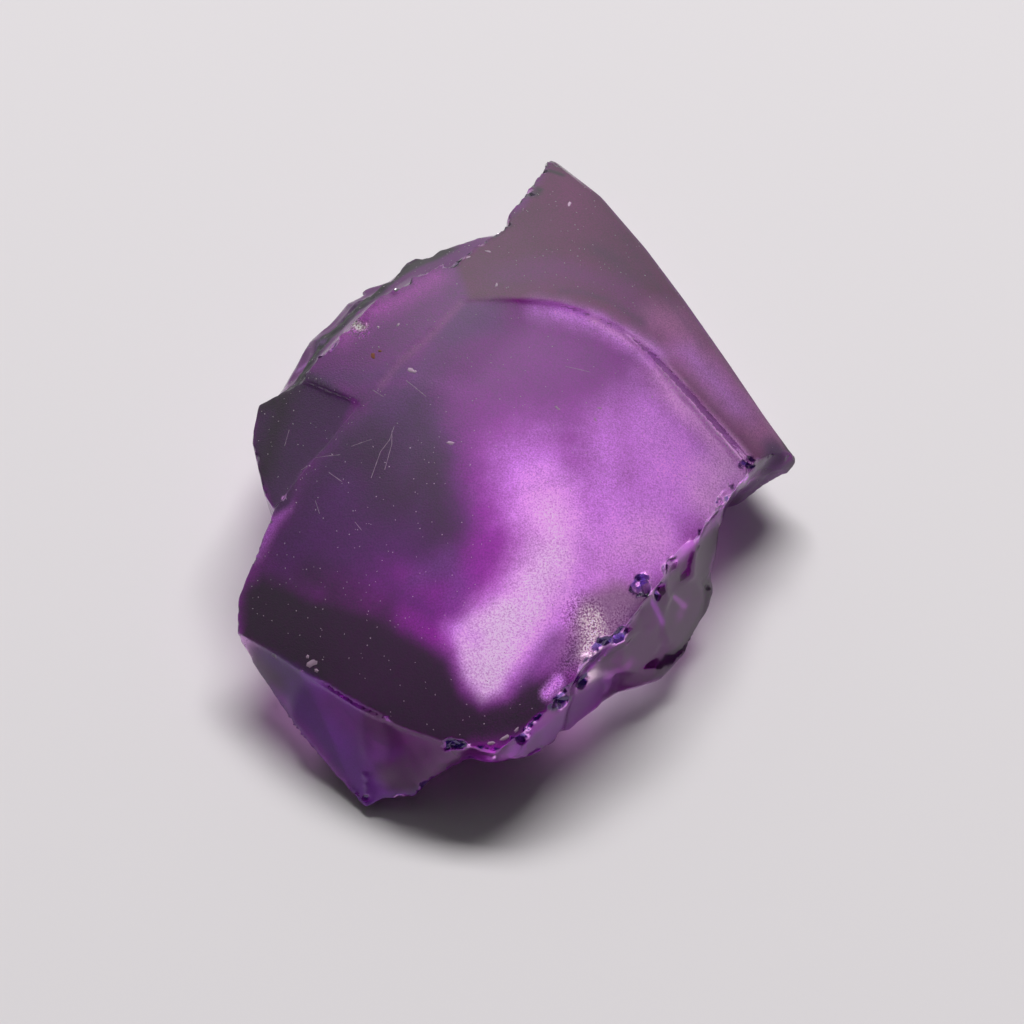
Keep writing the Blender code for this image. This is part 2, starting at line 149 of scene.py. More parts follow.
def distance_to_stroke(points, stroke):
    """Distance in mm from points to a line through a few places, given in plan or in space."""
    nearest = np.full(len(points), 1e9)
    places = np.array(stroke, dtype=float)
    if len(places) == 1:
        places = np.vstack([places, places])
    known = points[:, :places.shape[1]]
    for a, b in zip(places[:-1], places[1:]):
        run = b - a
        length = max(1e-9, float(run @ run))
        share = np.clip(((known - a) @ run) / length, 0.0, 1.0)
        gap = known - (a + share[:, None] * run)
        nearest = np.minimum(nearest, np.linalg.norm(gap, axis=1))
    return nearest


mesh = even_mesh(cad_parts["rough_alexandrite"])
ends = edge_ends(mesh)

# The ground skin is smooth to the hand: the solid's small facets are eased away,
# while true edges stay sharp. The edges' own zigzag is eased first, along them.
EDGE_EASING = 5
SKIN_EASING = 14
for easing in range(EDGE_EASING):
    points = positions(mesh)
    crease = bend_at_vertices(mesh, ends) > CREASE
    along = ends[crease[ends[:, 0]] & crease[ends[:, 1]]]
    degree = np.bincount(along.ravel(), minlength=len(points))
    held = (degree < 2) | (points[:, 2] < FLAT_FOOT[0])
    eased = neighbour_mean(points, along)
    points = np.where(held[:, None], points, 0.5 * points + 0.5 * eased)
    set_positions(mesh, points)
for easing in range(SKIN_EASING):
    points = positions(mesh)
    bend = bend_at_vertices(mesh, ends)
    sharp = smoothstep(CREASE * 0.6, CREASE, bend)
    free = (1.0 - sharp) * smoothstep(*FLAT_FOOT, points[:, 2])
    points += 0.5 * free[:, None] * (neighbour_mean(points, ends) - points)
    set_positions(mesh, points)

# Flanks that are a little fuller than in the solid: places, reach, push in plan.
FULLER_FLANKS = (
    (((0.0, 11.2, 7.4), (1.1, 13.4, 6.2), (1.6, 15.2, 5.2)), 1.6, (-0.32, 0.16)),
    (((12.3, 0.2, 2.6), (10.8, -0.7, 2.0)), 1.8, (0.24, -0.28)),
)
points = positions(mesh)
facing = normals(mesh)
for places, reach, push in FULLER_FLANKS:
    share = 1.0 - smoothstep(0.4 * reach, reach, distance_to_stroke(points, places))
    outward = np.clip(facing[:, :2] @ (np.array(push) / math.hypot(*push)), 0.0, 1.0)
    points[:, :2] += (share * outward)[:, None] * np.array(push)
set_positions(mesh, points)

# Flat cleavage-like faces of the broken sides, each made true around its middle: name,
# middle, reach, and how alike in facing a spot must be to belong to the face.
FLAT_BREAKS = (
    ("toe", (-8.0, -13.4, 2.3), 3.2, (0.92, 0.965)),
    ("upper mass", (8.6, -4.8, 3.8), 1.9, (0.45, 0.75)),
    ("lower wall foot", (0.8, -13.6, 3.0), 1.2, (0.45, 0.75)),
    ("lower wall", (3.0, -11.8, 2.5), 1.7, (0.45, 0.75)),
    ("mass inside", (5.4, -9.5, 3.4), 1.4, (0.45, 0.75)),
    ("mass", (7.4, -7.5, 2.9), 1.9, (0.45, 0.75)),
)
STEEP_ENOUGH = (0.62, 0.70)
points = positions(mesh)
facing = normals(mesh)
for name, middle, reach, alike in FLAT_BREAKS:
    gap = np.linalg.norm(points - np.array(middle), axis=1)
    closest = facing[np.argmin(gap)]
    same_side = smoothstep(*alike, facing @ closest)
    same_side *= 1.0 - smoothstep(*STEEP_ENOUGH, facing[:, 2])
    picked = (gap < reach) & (same_side > 0.5)
    centre = points[picked].mean(axis=0)
    plane = np.linalg.svd(points[picked] - centre, full_matrices=False)[2][2]
    share = same_side * (1.0 - smoothstep(0.75 * reach, reach, gap))
    share = share * smoothstep(*FLAT_FOOT, points[:, 2])
    points -= (share * ((points - centre) @ plane))[:, None] * plane
set_positions(mesh, points)

# Ground skin faces up and lies high. Behind the strip it also rolls over the outer edge.
SKIN_FACING_UP = (0.55, 0.75)
SKIN_LOWEST = (2.2, 3.2)
ROLLED_EDGE_FACING = (0.81, 0.58)
ROLLED_FAR = (0.45, 0.6)
ROLLED_LOWEST = (0.6, 1.6)
LEAST_FACING_DOWN = (-0.1, 0.1)
BEHIND_STRIP_Y = (-1.0, 0.5)
BEHIND_STRIP_X = (2.0, 4.0)
points = positions(mesh)
facing = normals(mesh)
roll = facing[:, 0] * ROLLED_EDGE_FACING[0] + facing[:, 1] * ROLLED_EDGE_FACING[1]
up = smoothstep(*SKIN_FACING_UP, facing[:, 2]) * smoothstep(*SKIN_LOWEST, points[:, 2])
rolled = smoothstep(*ROLLED_FAR, roll) * smoothstep(*ROLLED_LOWEST, points[:, 2])
rolled *= smoothstep(*LEAST_FACING_DOWN, facing[:, 2])
behind_strip = smoothstep(*BEHIND_STRIP_Y, points[:, 1]) * smoothstep(*BEHIND_STRIP_X, points[:, 0])
ground = np.maximum(up, rolled * behind_strip)
broken = (1.0 - ground) * smoothstep(*FLAT_FOOT, points[:, 2])

# Breaks that are dull rather than glassy: places, reach, how dull.
HACKLED_LEDGE = ((-10.5, 2.8, 5.8), (-8.4, 5.8, 5.9), (-6.2, 7.6, 6.3), (-4.2, 8.9, 6.6))
DULL_BREAKS = (
    (((12.2, 0.5, 3.4), (11.4, 0.0, 2.4), (10.6, -0.5, 2.2)), 1.3, 0.8),
    (((-10.2, -11.0, 2.4), (-8.6, -12.9, 2.4), (-5.4, -14.6, 2.0)), 3.0, 0.45),
    (HACKLED_LEDGE, 1.5, 1.0),
)
for places, reach, dullness in DULL_BREAKS:
    patch = 1.0 - smoothstep(0.7 * reach, 1.3 * reach, distance_to_stroke(points, places))
    ground = np.maximum(ground, dullness * patch)

# Shell-shaped breaks: ripples spread from where the blow fell, over an uneven swell with
# some ridges. Calm places stay flat and the ledge is hackled, like torn glass.
BLOWS = (
    ("right mass", 9.0, -4.2, 5.4, 0.9),
    ("right lower", 5.8, -8.8, 5.2, 0.8),
    ("strip end", 11.6, 0.4, 4.4, 0.7),
    ("toe", -2.6, -14.0, 3.6, 0.8),
    ("left notch", -10.9, -4.0, 6.0, 1.0),
    ("ledge", -8.2, 4.2, 8.6, 0.8),
    ("back notch", -1.8, 9.0, 8.0, 0.9),
    ("tip", 1.6, 14.6, 5.4, 0.8),
)
RIPPLE_HEIGHT = 0.008
RIPPLE_REACH = 4.0
SWELL_HEIGHT = 0.05
RIDGE_HEIGHT = 0.03
CALM_PLACES = ((-7.4, -13.2, 2.4), (8.4, -5.0, 3.6), (7.2, -7.6, 2.9), (5.4, -9.5, 3.4),
               (2.8, -12.0, 2.6))
CALM_RELIEF = 0.12
# Height, size of the lumps and shift of the noise.
HACKLES = ((0.15, 0.9, (2.2, 0.6, 4.1)), (0.08, 0.4, (7.3, 1.9, 0.8)))
height = np.zeros(len(points))
for name, x, y, z, spacing in BLOWS:
    away = np.linalg.norm(points - np.array((x, y, z)), axis=1)
    wobble = 0.5 * noise_at(points, 2.4, np.array((x, y, z)))
    wave = np.sin(2.0 * math.pi * (away / spacing + wobble))
    height += RIPPLE_HEIGHT * wave * np.exp(-((away / RIPPLE_REACH) ** 2))
height += SWELL_HEIGHT * noise_at(points, 3.0, np.array((3.1, 7.7, 1.3)))
ridges = 1.0 - 2.0 * np.abs(noise_at(points, 1.9, np.array((9.2, 0.4, 5.5))))
ridged = smoothstep(0.0, 0.5, noise_at(points, 2.8, np.array((5.1, 3.4, 8.8))))
height += RIDGE_HEIGHT * ridges * ridged
to_calm = np.min([np.linalg.norm(points - np.array(place), axis=1) for place in CALM_PLACES], axis=0)
height *= CALM_RELIEF + (1.0 - CALM_RELIEF) * smoothstep(1.5, 3.5, to_calm)
hackled = broken * (1.0 - smoothstep(1.0, 1.8, distance_to_stroke(points, HACKLED_LEDGE)))
for tallness, size, shift in HACKLES:
    height += hackled * tallness * noise_at(points, size, np.array(shift))
points = points + facing * (height * broken)[:, None]
set_positions(mesh, points)

# Edges chipped where the stone was knocked. Each chip is a shallow scoop, cut at a place
# of the edge by the side of a ball: name, places along it, chips, ball radius, depth,
# share of chips painted bright as glints; the others are painted dark as shade.
WORN_EDGES = (
    ("right edge", ((10.5, -0.9, 4.4), (9.2, -2.9, 5.2), (8.4, -3.7, 5.5), (7.5, -5.1, 5.9), (5.8, -7.8, 5.9),
                    (4.8, -8.6, 6.0), (4.1, -10.1, 5.6)), 60, (0.13, 0.3), (0.03, 0.08), 0.4),
    ("edge notch", ((5.5, -8.0, 5.9),), 2, (0.2, 0.3), (0.06, 0.10), 0),
    ("lower edge", ((4.1, -10.1, 5.6), (3.6, -10.5, 4.8), (1.2, -13.2, 4.1), (-1.7, -14.5, 3.6),
                    (-2.8, -14.4, 3.6)), 70, (0.15, 0.35), (0.03, 0.09), 0.15),
    ("toe edge", ((-3.0, -14.4, 3.4), (-3.9, -15.0, 2.0), (-5.0, -15.6, 0.9), (-6.6, -15.8, 0.4)),
     18, (0.15, 0.4), (0.03, 0.09), 0.2),
    ("front edge", ((-12.3, -8.9, 2.9), (-9.7, -10.8, 3.6), (-7.4, -12.4, 4.1), (-4.3, -13.9, 3.7)),
     5, (0.12, 0.25), (0.02, 0.05), 0),
    ("ledge edge", ((-9.9, 2.6, 6.8), (-8.5, 3.6, 8.2), (-7.6, 5.2, 8.0), (-6.7, 6.2, 8.2), (-4.9, 6.6, 8.8),
                    (-3.6, 7.4, 8.8), (-2.2, 8.4, 8.6)), 80, (0.15, 0.4), (0.03, 0.10), 0.6),
    ("left edge", ((-12.0, 0.1, 6.3), (-11.8, -1.8, 5.8), (-10.9, -4.2, 6.2), (-11.4, -5.4, 5.5),
                   (-12.5, -8.6, 3.5)),
     20, (0.15, 0.35), (0.02, 0.06), 0.1),
    ("tip edge", ((-1.5, 8.5, 8.8), (0.2, 11.3, 7.6), (1.1, 13.7, 6.3), (1.6, 15.3, 5.2)),
     30, (0.15, 0.4), (0.03, 0.08), 0.1),
    ("strip end", ((10.9, -0.7, 5.0), (11.8, 0.3, 4.3), (12.5, 0.8, 3.4)),
     12, (0.12, 0.25), (0.03, 0.07), 0.1),
)
EDGE_BAND = 0.7
WIDEST_CHIP = 0.5
CHIP_LEAN = 0.5
points = positions(mesh)
facing = normals(mesh)
on_edge = bend_at_vertices(mesh, ends) > CREASE
dice = random.Random(31)
chipped = np.zeros(len(points))
glint = np.zeros(len(points))
for name, places, count, radii, depths, bright_share in WORN_EDGES:
    near = np.nonzero(on_edge & (distance_to_stroke(points, places) < EDGE_BAND))[0]
    for chip in range(count):
        start = points[near[dice.randrange(len(near))]]
        around = np.linalg.norm(points - start, axis=1)
        out = facing[around < EDGE_BAND].sum(axis=0)
        out += np.array([dice.uniform(-CHIP_LEAN, CHIP_LEAN) for axis in range(3)]) * np.linalg.norm(out)
        out /= np.linalg.norm(out)
        radius = dice.uniform(*radii)
        ball = start + out * (radius - dice.uniform(*depths))
        offset = points - ball
        away = np.maximum(np.linalg.norm(offset, axis=1), 1e-6)
        cut = (away < radius) & (around < WIDEST_CHIP) & (points[:, 2] > FLAT_FOOT[1])
        points[cut] = ball + offset[cut] * (radius / away[cut])[:, None]
        chipped[cut] = 1.0
        glint[cut] = float(dice.random() < bright_share)
set_positions(mesh, points)
ground = ground * (1.0 - chipped)

stone = bpy.data.objects.new("violet_rough", mesh)
bpy.context.scene.collection.objects.link(stone)

# Chips and hackles show crisp little faces, and all the rest is shaded smooth.
mesh.shade_smooth()
corners = np.empty(len(mesh.loops), dtype=np.int64)
mesh.loops.foreach_get("vertex_index", corners)
first = np.empty(len(mesh.polygons), dtype=np.int64)
mesh.polygons.foreach_get("loop_start", first)
crisp = np.minimum.reduceat(np.maximum(chipped, hackled)[corners], first) > 0.5
mesh.polygons.foreach_set("use_smooth", ~crisp)

# ------------------------------------------------------------- painted light and shade on the stone
# Light that comes up through the crystal shows on its skin in zones: clear lilac where
# its way is free, smoky where inner breaks and the shadowed foot stand behind it. The
# inner breaks aren't modelled, so this light and shade is painted on, as tints of the skin.


def linear(colour):
    """An sRGB hex colour as linear red, green and blue."""
    parts = [int(colour[k:k + 2], 16) / 255.0 for k in (1, 3, 5)]
    return tuple(c / 12.92 if c <= 0.04045 else ((c + 0.055) / 1.055) ** 2.4 for c in parts)


def inside_area(points, corners):
    """Which points lie inside a closed outline, in plan."""
    x, y = points[:, 0], points[:, 1]
    inside = np.zeros(len(points), dtype=bool)
    for (x0, y0), (x1, y1) in zip(corners, corners[1:] + corners[:1]):
        spans = (y0 > y) != (y1 > y)
        if y0 != y1:
            inside ^= spans & (x < (x1 - x0) * (y - y0) / (y1 - y0) + x0)
    return inside


# What is left of white light after it comes out through the skin; most are painted light or shade.
CRYSTAL_AND_PAINTED_LIGHT_TINTS = {
    "violet": "#a019a8",
    "clear": "#ffffff",
    "bloom": "#fdecff",
    "lilac": "#ffd4ff",
    "orchid": "#edadfc",
    "mauve": "#cb76d7",
    "fuchsia": "#dd59dd",
    "deep": "#863099",
    "plum": "#814593",
    "night": "#61196f",
    "indigo": "#591976",
    "smoke": "#3f0042",
    "wine": "#8e1979",
    "rose": "#ce89bf",
    "grey": "#aa8ea6",
    "silver": "#f9ffe7",
}
# Tint and strength before any zone is laid on; the steep sides' dark tint is painted shade.
UNDERSIDE = ("lilac", 0.8)
SHADED_STEEP_SIDES = ("night", 0.9)
# How much the frost's grains differ in brightness, which paints their sparkle, and where they
# are coarser; the first and last patches paint a grainy sheen and sparkle.
EVEN_GRIT = 0.23
COARSE_GRAIN_AND_SHEEN_PATCHES = (
    (((2.9, -9.3), (3.1, -10.6), (2.7, -11.2)), 1.5, 0.8),
    (((4.6, -9.0), (1.2, -12.4), (-1.6, -13.8)), 0.8, 0.5),
    (((1.6, -12.2),), 0.7, 0.4),
    (((-7.5, 4.3), (-7.0, 3.7)), 0.6, 1.0),
)
# A zone is a soft area in plan, a soft line in plan, or a soft line in space: name, kind,
# tint, strength, reach, softness, places. An area or a top zone shows on what faces up, a
# side zone on all but the underside, a steep zone on walls, an under zone on the
# underside and a line on everything near it. Later zones lie over earlier ones.
# Most zones are painted light and shade: glows, highlights, sheens and glints, and shade.
PAINTED_LIGHT_ZONES = (
    ("left dark", "area", "night", 1, 0, 1.2,
     ((-4.1, 1.1), (-2.9, -1.5), (-2.4, -5.6), (-3.2, -8), (-6, -7.6), (-8.3, -7.7), (-11.4, -7),
     (-11, -5.2), (-10.1, -3.3), (-8.4, -0.8))),
    ("left darkest", "top", "smoke", 0.75, 0.8, 1.4,
     ((-6.5, -2.6), (-5.2, -4.5), (-3.9, -3.3), (-3.4, -5.9))),
    ("left violet", "top", "deep", 0.25, 0.5, 1.2, ((-9.6, -5.8), (-7.6, -3.4))),
    ("left upper", "top", "deep", 0.7, 0.6, 1.2, ((-5.5, -0), (-3.9, 2.6), (-2.8, 3.9))),
    ("upper pink", "top", "mauve", 0.35, 0.2, 0.9, ((-5, 1.3), (-3, 0.6))),
    ("upper middle", "top", "violet", 0.8, 1, 1.5, ((0.1, 2.6), (2.8, 1.4))),
    ("middle", "top", "mauve", 0.8, 0.5, 1.6, ((-1, -2.2), (1, -1.4), (4.1, -0.7))),
    ("right side", "area", "orchid", 0.93, 0, 1.5,
     ((5.5, 2), (10.6, -0.9), (9.9, -2), (7.6, -5), (6, -7.4), (4, -7.5), (2.9, -4.8), (2.9, -2.1),
     (3.6, -0))),
    ("right bright", "top", "lilac", 0.95, 0.7, 1.2, ((6.7, 2.6), (8.5, 1.1), (10.1, -0.4))),
    ("right border", "top", "lilac", 0.85, 0.8, 1, ((7.5, 2), (8.5, 1), (9.9, -0.2), (8.4, -3.1))),
    ("right dimmer", "top", "violet", 0.35, 0.5, 1.2, ((4.5, 0.2), (4.9, -3.1))),
    ("upper dimmer", "top", "violet", 0.55, 0.6, 1.1, ((-0.8, -1.5), (0.3, -2.8))),
    ("right low bright", "top", "lilac", 0.65, 0.8, 1.1, ((6, -5.6), (3.8, -6.6), (3.5, -7.7))),
    ("glow halo", "top", "orchid", 1, 1.5, 1.7, ((0.7, -3.7), (2.2, -6.2), (1.4, -8.8), (-0.8, -10.8))),
    ("glow wide", "top", "lilac", 1, 1, 1.4, ((1.2, -4.8), (1.5, -6.5), (0.7, -8.5), (-0.7, -10.1))),
    ("left of glow", "top", "plum", 0.75, 0.4, 0.8,
     ((-4.5, -7.9), (-3.2, -7.2), (-2.5, -8.2), (-2.9, -9.1))),
    ("glow above", "top", "bloom", 0.35, 0.5, 1, ((1.3, -5.4), (1.5, -6.5))),
    ("glow", "top", "bloom", 1, 0.7, 0.9, ((1.3, -7.1), (0.2, -9), (-1.3, -10.8))),
    ("glow foot", "area", "bloom", 1, 0, 0.4,
     ((-2.7, -10), (-0.8, -8.9), (1.1, -8.8), (-0, -10.6), (-0.8, -12.4), (-1.6, -12.7), (-2.3, -11.7))),
    ("glow core", "top", "clear", 0.8, 0.4, 0.6, ((-0.6, -9.4), (-0.9, -10.4), (-1.3, -11.6))),
    ("right of foot", "top", "plum", 0.7, 0.3, 0.5, ((1.6, -10.3), (0.9, -11.2), (0.1, -12.3))),
    ("glow arm", "top", "orchid", 0.6, 0.15, 0.5, ((-3.2, -9.8), (-1.9, -10.3))),
    ("streak dark", "top", "smoke", 0.7, 0.6, 0.7, ((-9.2, -7.1), (-7.4, -8.3), (-5.8, -8.9))),
    ("violet streak", "top", "night", 0.75, 0.4, 0.7, ((-6.3, -7.4), (-5.2, -8.3), (-3.8, -9.3))),
    ("dark foot band", "area", "smoke", 1, 0, 0.5,
     ((-12.4, -7), (-11.4, -6.6), (-9.2, -7.8), (-6.5, -8.9), (-4.5, -10.1), (-3.1, -11), (-2.5, -12.3),
     (-1.6, -12.9), (-0.6, -12.7), (0.4, -11.9), (1.3, -11.6), (2.4, -11.9), (3.7, -10.6), (2.5, -12.2),
     (0.1, -14.2), (-2.8, -14.4), (-4.3, -14), (-8.3, -11.7), (-12.3, -8.9), (-12.5, -7.7))),
    ("beside glow", "top", "grey", 0.5, 0.35, 0.6, ((3.6, -8.9), (2.6, -9.7), (1.8, -10.9))),
    ("right of glow", "area", "grey", 1, 0, 0.5,
     ((2.7, -8.6), (4.2, -7.7), (5.8, -7.9), (4.6, -9.8), (3.2, -10.9), (1.9, -11.4))),
    ("lower grey", "top", "night", 0.5, 0.3, 0.4, ((1.8, -11.4), (2.4, -10.7))),
    ("sheen side", "top", "night", 0.4, 0.3, 0.4, ((5.1, -8.9), (4.6, -9.8))),
    ("silver sheen", "top", "silver", 1, 0.45, 0.45, ((3.2, -9.5), (3.4, -10.6), (3.2, -10.7))),
    ("purple spot", "top", "orchid", 1, 0.25, 0.2, ((1.2, -12.4), (1.7, -11.9))),
    ("left sliver", "top", "mauve", 1, 0.35, 0.3, ((-10.4, -4), (-11.1, -4.6), (-11.7, -5.6))),
    ("upper left band", "area", "violet", 1, 0, 0.25,
     ((-9.8, 1.7), (-7.7, 5.4), (-5.4, 7.5), (-3.4, 8.5), (-2.2, 5.2), (-3.5, 3.3), (-5, 0.7),
     (-7.5, 1))),
    ("band bright", "top", "fuchsia", 1, 0.5, 0.8, ((-7.8, 3.6), (-6.7, 4.7), (-5.3, 5.2), (-3.8, 6.3))),
    ("band low", "top", "deep", 0.9, 0.3, 0.6, ((-8.9, 1.6), (-6.6, 1.3), (-5, 1.3))),
    ("step corner", "area", "deep", 0.8, 0, 0.5,
     ((-2.5, 4.7), (-0.8, 5.1), (-0.8, 3.5), (-3, 2.6), (-3.5, 3.1))),
    ("left facet", "area", "night", 1, 0, 0.2,
     ((-11.8, 1.1), (-9.9, 2.6), (-7.4, 0.3), (-8.3, -1.5), (-9.8, -2.5), (-10.1, -4), (-10.9, -4.2),
     (-11.8, -1.1), (-12, -0.4))),
    ("left facet dark", "top", "smoke", 0.9, 0.5, 0.6, ((-11.7, 1.3), (-10.5, 1.4), (-11.5, -1.9))),
    ("skin strip", "area", "wine", 1, 0, 0.25,
     ((1.7, 16.1), (3.9, 13.6), (6.2, 9.8), (8.4, 6), (10.7, 2.9), (12.7, 0.8), (10.8, -0.8), (8.2, 1.4),
     (6, 3.7), (3.7, 5), (1.7, 5.2), (-2.2, 5), (-2.9, 7.3), (-1.5, 8.7), (0.3, 11.5))),
    ("strip dark", "top", "night", 0.5, 0.4, 1, ((3.8, 9), (5.2, 7.7))),
    ("strip violet", "top", "violet", 0.5, 0.5, 1.2,
     ((-0.6, 6.5), (1.9, 7.2), (4.3, 6.8), (6, 5.5), (7.4, 3.9))),
    ("strip low", "top", "rose", 1, 1.1, 1, ((7.1, 5.4), (8.8, 3.3), (11.1, 1.4))),
    ("strip pale", "top", "orchid", 0.7, 0.6, 0.9, ((7.8, 3.8), (9.9, 1.8))),
    ("strip end", "side", "smoke", 1, 0.35, 0.4, ((12.4, 0.9, 3.4), (12.7, 0.8, 2.8))),
    ("strip outer edge", "top", "night", 0.3, 0.1, 0.4, ((4.6, 11.2), (6.1, 8.1), (8.4, 4.6))),
    ("arc shadow", "top", "night", 0.5, 0.15, 0.3, ((1.9, 5.9), (2.8, 6), (4.1, 5.8), (5.6, 4.9))),
    ("step wall", "line", "orchid", 1, 0.2, 0.16,
     ((1.7, 4.8, 8.8), (3.2, 4.8, 8.4), (4, 4.5, 8.2), (4.9, 4, 7.8))),
    ("step wall low", "line", "lilac", 1, 0.35, 0.25,
     ((5.8, 3.5, 7.4), (6.9, 2.5, 6.7), (8.3, 1.2, 5.9), (10, -0.4, 4.9))),
    ("step line", "line", "deep", 0.35, 0.02, 0.08,
     ((6, 3.4, 7.8), (7.3, 2.1, 6.9), (8.5, 1.1, 6.2), (10.2, -0.5, 5.3))),
    ("arc light", "top", "orchid", 1, 0.35, 0.7, ((0.8, 4.8), (2.1, 4.7), (3.7, 4.4), (6, 3.4))),
    ("arc light thin", "top", "lilac", 1, 0.1, 0.4, ((3.3, 4.7), (5.7, 3.6))),
    ("tip dark spot", "top", "smoke", 1, 0.15, 0.15, ((1.5, 14.8), (2.1, 14.6))),
    ("tip second spot", "top", "smoke", 1, 0.15, 0.15, ((0.7, 12.4), (1, 13))),
    ("step streak", "top", "rose", 0.35, 0.16, 0.2, ((-6.1, 0.8), (-5.3, 1.8), (-3.9, 3.1), (-2.6, 4.8))),
    ("spark patch", "top", "silver", 0.9, 0.2, 0.15, ((-7.5, 4.3), (-7, 4))),
    ("right wall", "side", "smoke", 1, 0.9, 0.5,
     ((10.1, -0.8, 1.4), (8.1, -5.6, 4.4), (5.8, -8.3, 5), (4.1, -10.2, 3.7))),
    ("right mass", "side", "smoke", 1, 1.1, 0.5,
     ((8.5, -5.8, 3), (7.8, -7.4, 2.1), (6.6, -9, 2.3), (4.6, -10.4, 1.6))),
    ("mass middle", "side", "smoke", 1, 0.9, 0.4,
     ((5.7, -9.4, 3.2), (6.3, -8.6, 3.5), (6.9, -7.7, 4.2), (7.7, -6.4, 4), (8.1, -5.6, 4.4))),
    ("mass glint", "side", "deep", 0.9, 0.12, 0.15, ((5.9, -8, 5.3), (6.4, -8.4, 3.9))),
    ("mass second glint", "side", "mauve", 0.5, 0.1, 0.12, ((7, -7.3, 4.2), (7.4, -7.2, 3.2))),
    ("lower wall", "side", "night", 1, 0.9, 0.5, ((3.6, -11.1, 2.5), (1.8, -13.1, 3.2), (0.1, -14.2, 3.4))),
    ("lower lip", "steep", "smoke", 1, 0.8, 0.4,
     ((-2.8, -14.3, 3.9), (-1.2, -14.6, 3.9), (0.3, -14.3, 3.2))),
    ("strip end wall", "line", "night", 1, 0.8, 0.5, ((11.8, -0.1, 4.2), (10.5, -0.4, 1.4))),
    ("strip corner", "side", "smoke", 1, 0.4, 0.5, ((12.7, 0.8, 2.9), (12.4, 0.6, 2.2))),
    ("toe", "side", "indigo", 1, 2.6, 0.6, ((-10.2, -11.4, 2.2), (-7.9, -13.4, 2.2), (-5.7, -15, 1.5))),
    ("toe middle", "side", "smoke", 0.7, 0.8, 0.9,
     ((-8.3, -12.1, 3.3), (-7, -13.4, 2.9), (-6.1, -14, 2.6))),
    ("toe left edge", "side", "violet", 0.6, 0.1, 0.5,
     ((-11.9, -9.4, 2.6), (-9.7, -12.3, 1.7), (-7.7, -14.9, 0.6))),
    ("toe head", "side", "smoke", 0.8, 0.5, 0.5, ((-12, -9.3, 2.4), (-10.8, -10.6, 2.5))),
    ("toe glow", "top", "deep", 0.4, 0.3, 0.8, ((-6.3, -14.2), (-5.9, -14.7))),
    ("toe right", "side", "smoke", 1, 1, 0.6, ((-6.1, -13.1, 3.7), (-4.5, -13.9, 3.5), (-3, -14.3, 3.6))),
    ("toe foot", "side", "smoke", 1, 1, 0.4, ((-5.2, -14.9, 1.9), (-4.1, -14.7, 2.5), (-3.1, -14.5, 3.3))),
    ("ledge", "line", "smoke", 1, 0.7, 0.4,
     ((-11, 1.5, 7), (-9.1, 4.7, 6.1), (-6.4, 7.5, 6.3), (-3.6, 9.6, 6.4))),
    ("ledge glint", "line", "orchid", 0.9, 0.1, 0.2, ((-9.4, 5.3, 5), (-8.9, 4.8, 6.3))),
    ("ledge low glint", "line", "orchid", 0.9, 0.1, 0.2, ((-10.3, 4.6, 4.1), (-9.9, 4.7, 4.4))),
    ("foot edge", "area", "smoke", 1, 0, 0.12,
     ((-12.3, -8.8), (-9.1, -11), (-7.2, -12.3), (-5.2, -13.3), (-2.7, -14.3), (-2.7, -13.2),
     (-5.2, -12.2), (-7.4, -11), (-9.6, -9.6), (-11.9, -8.1))),
    ("front underside", "under", "smoke", 1, 2.6, 0.8, ((-6.5, -14.1), (-3, -14.3), (0.1, -14))),
    ("right foot", "under", "clear", 1, 1.6, 0.6, ((4.6, -10.4), (6.4, -9.6))),
    ("left wall", "steep", "lilac", 0.9, 1, 0.6,
     ((-12.5, -7.3, 4), (-12.6, -8.7, 2.8), (-12.1, -6.4, 4.6))),
    ("right underside", "under", "night", 0.95, 2, 0.8, ((11.5, -0.2), (10.2, -0.7))),
)
CHIP_SHADE_AND_GLINT_TINTS = ("night", "lilac")
CHIP_STRENGTH = 0.85
FACING_UP = (0.05, 0.35)
FACING_DOWN = (-0.1, -0.5)
# How far the zones' borders wander, as a share of their softness.
WANDER = 0.3
points = positions(mesh)
facing = normals(mesh)
wander = 0.7 * noise_at(points, 1.7, np.array((4.0, 1.0, 6.0)))
wander += 0.5 * noise_at(points, 0.6, np.array((1.0, 8.0, 3.0)))

# Tints are laid over one another, each with its own cover at every vertex.
from_above = smoothstep(*FACING_UP, facing[:, 2])
paint = np.tile(np.array(linear(CRYSTAL_AND_PAINTED_LIGHT_TINTS["violet"])), (len(points), 1))
beneath = smoothstep(*FACING_DOWN, facing[:, 2])
beside = (1.0 - from_above) * (1.0 - beneath)
for (tint, strength), share in ((UNDERSIDE, beneath), (SHADED_STEEP_SIDES, beside)):
    paint += strength * share[:, None] * (np.array(linear(CRYSTAL_AND_PAINTED_LIGHT_TINTS[tint])) - paint)
for name, kind, tint, strength, reach, softness, places in PAINTED_LIGHT_ZONES:
    if kind == "area":
        away = distance_to_stroke(points, places + places[:1])
        away = np.where(inside_area(points, places), -away, away)
    else:
        away = distance_to_stroke(points, places)
    away += WANDER * softness * wander
    cover = strength * (1.0 - smoothstep(reach - softness, reach + softness, away))
    if kind == "under":
        cover *= beneath
    elif kind == "side":
        cover *= 1.0 - beneath
    elif kind == "steep":
        cover *= 1.0 - from_above
    elif kind != "line":
        cover *= from_above
    paint += cover[:, None] * (np.array(linear(CRYSTAL_AND_PAINTED_LIGHT_TINTS[tint])) - paint)
# Chips are painted dark, as shade, or bright, as glints.
for tint, share in zip(CHIP_SHADE_AND_GLINT_TINTS, (1.0 - glint, glint)):
    paint += CHIP_STRENGTH * (chipped * share)[:, None] * (np.array(linear(CRYSTAL_AND_PAINTED_LIGHT_TINTS[tint])) - paint)

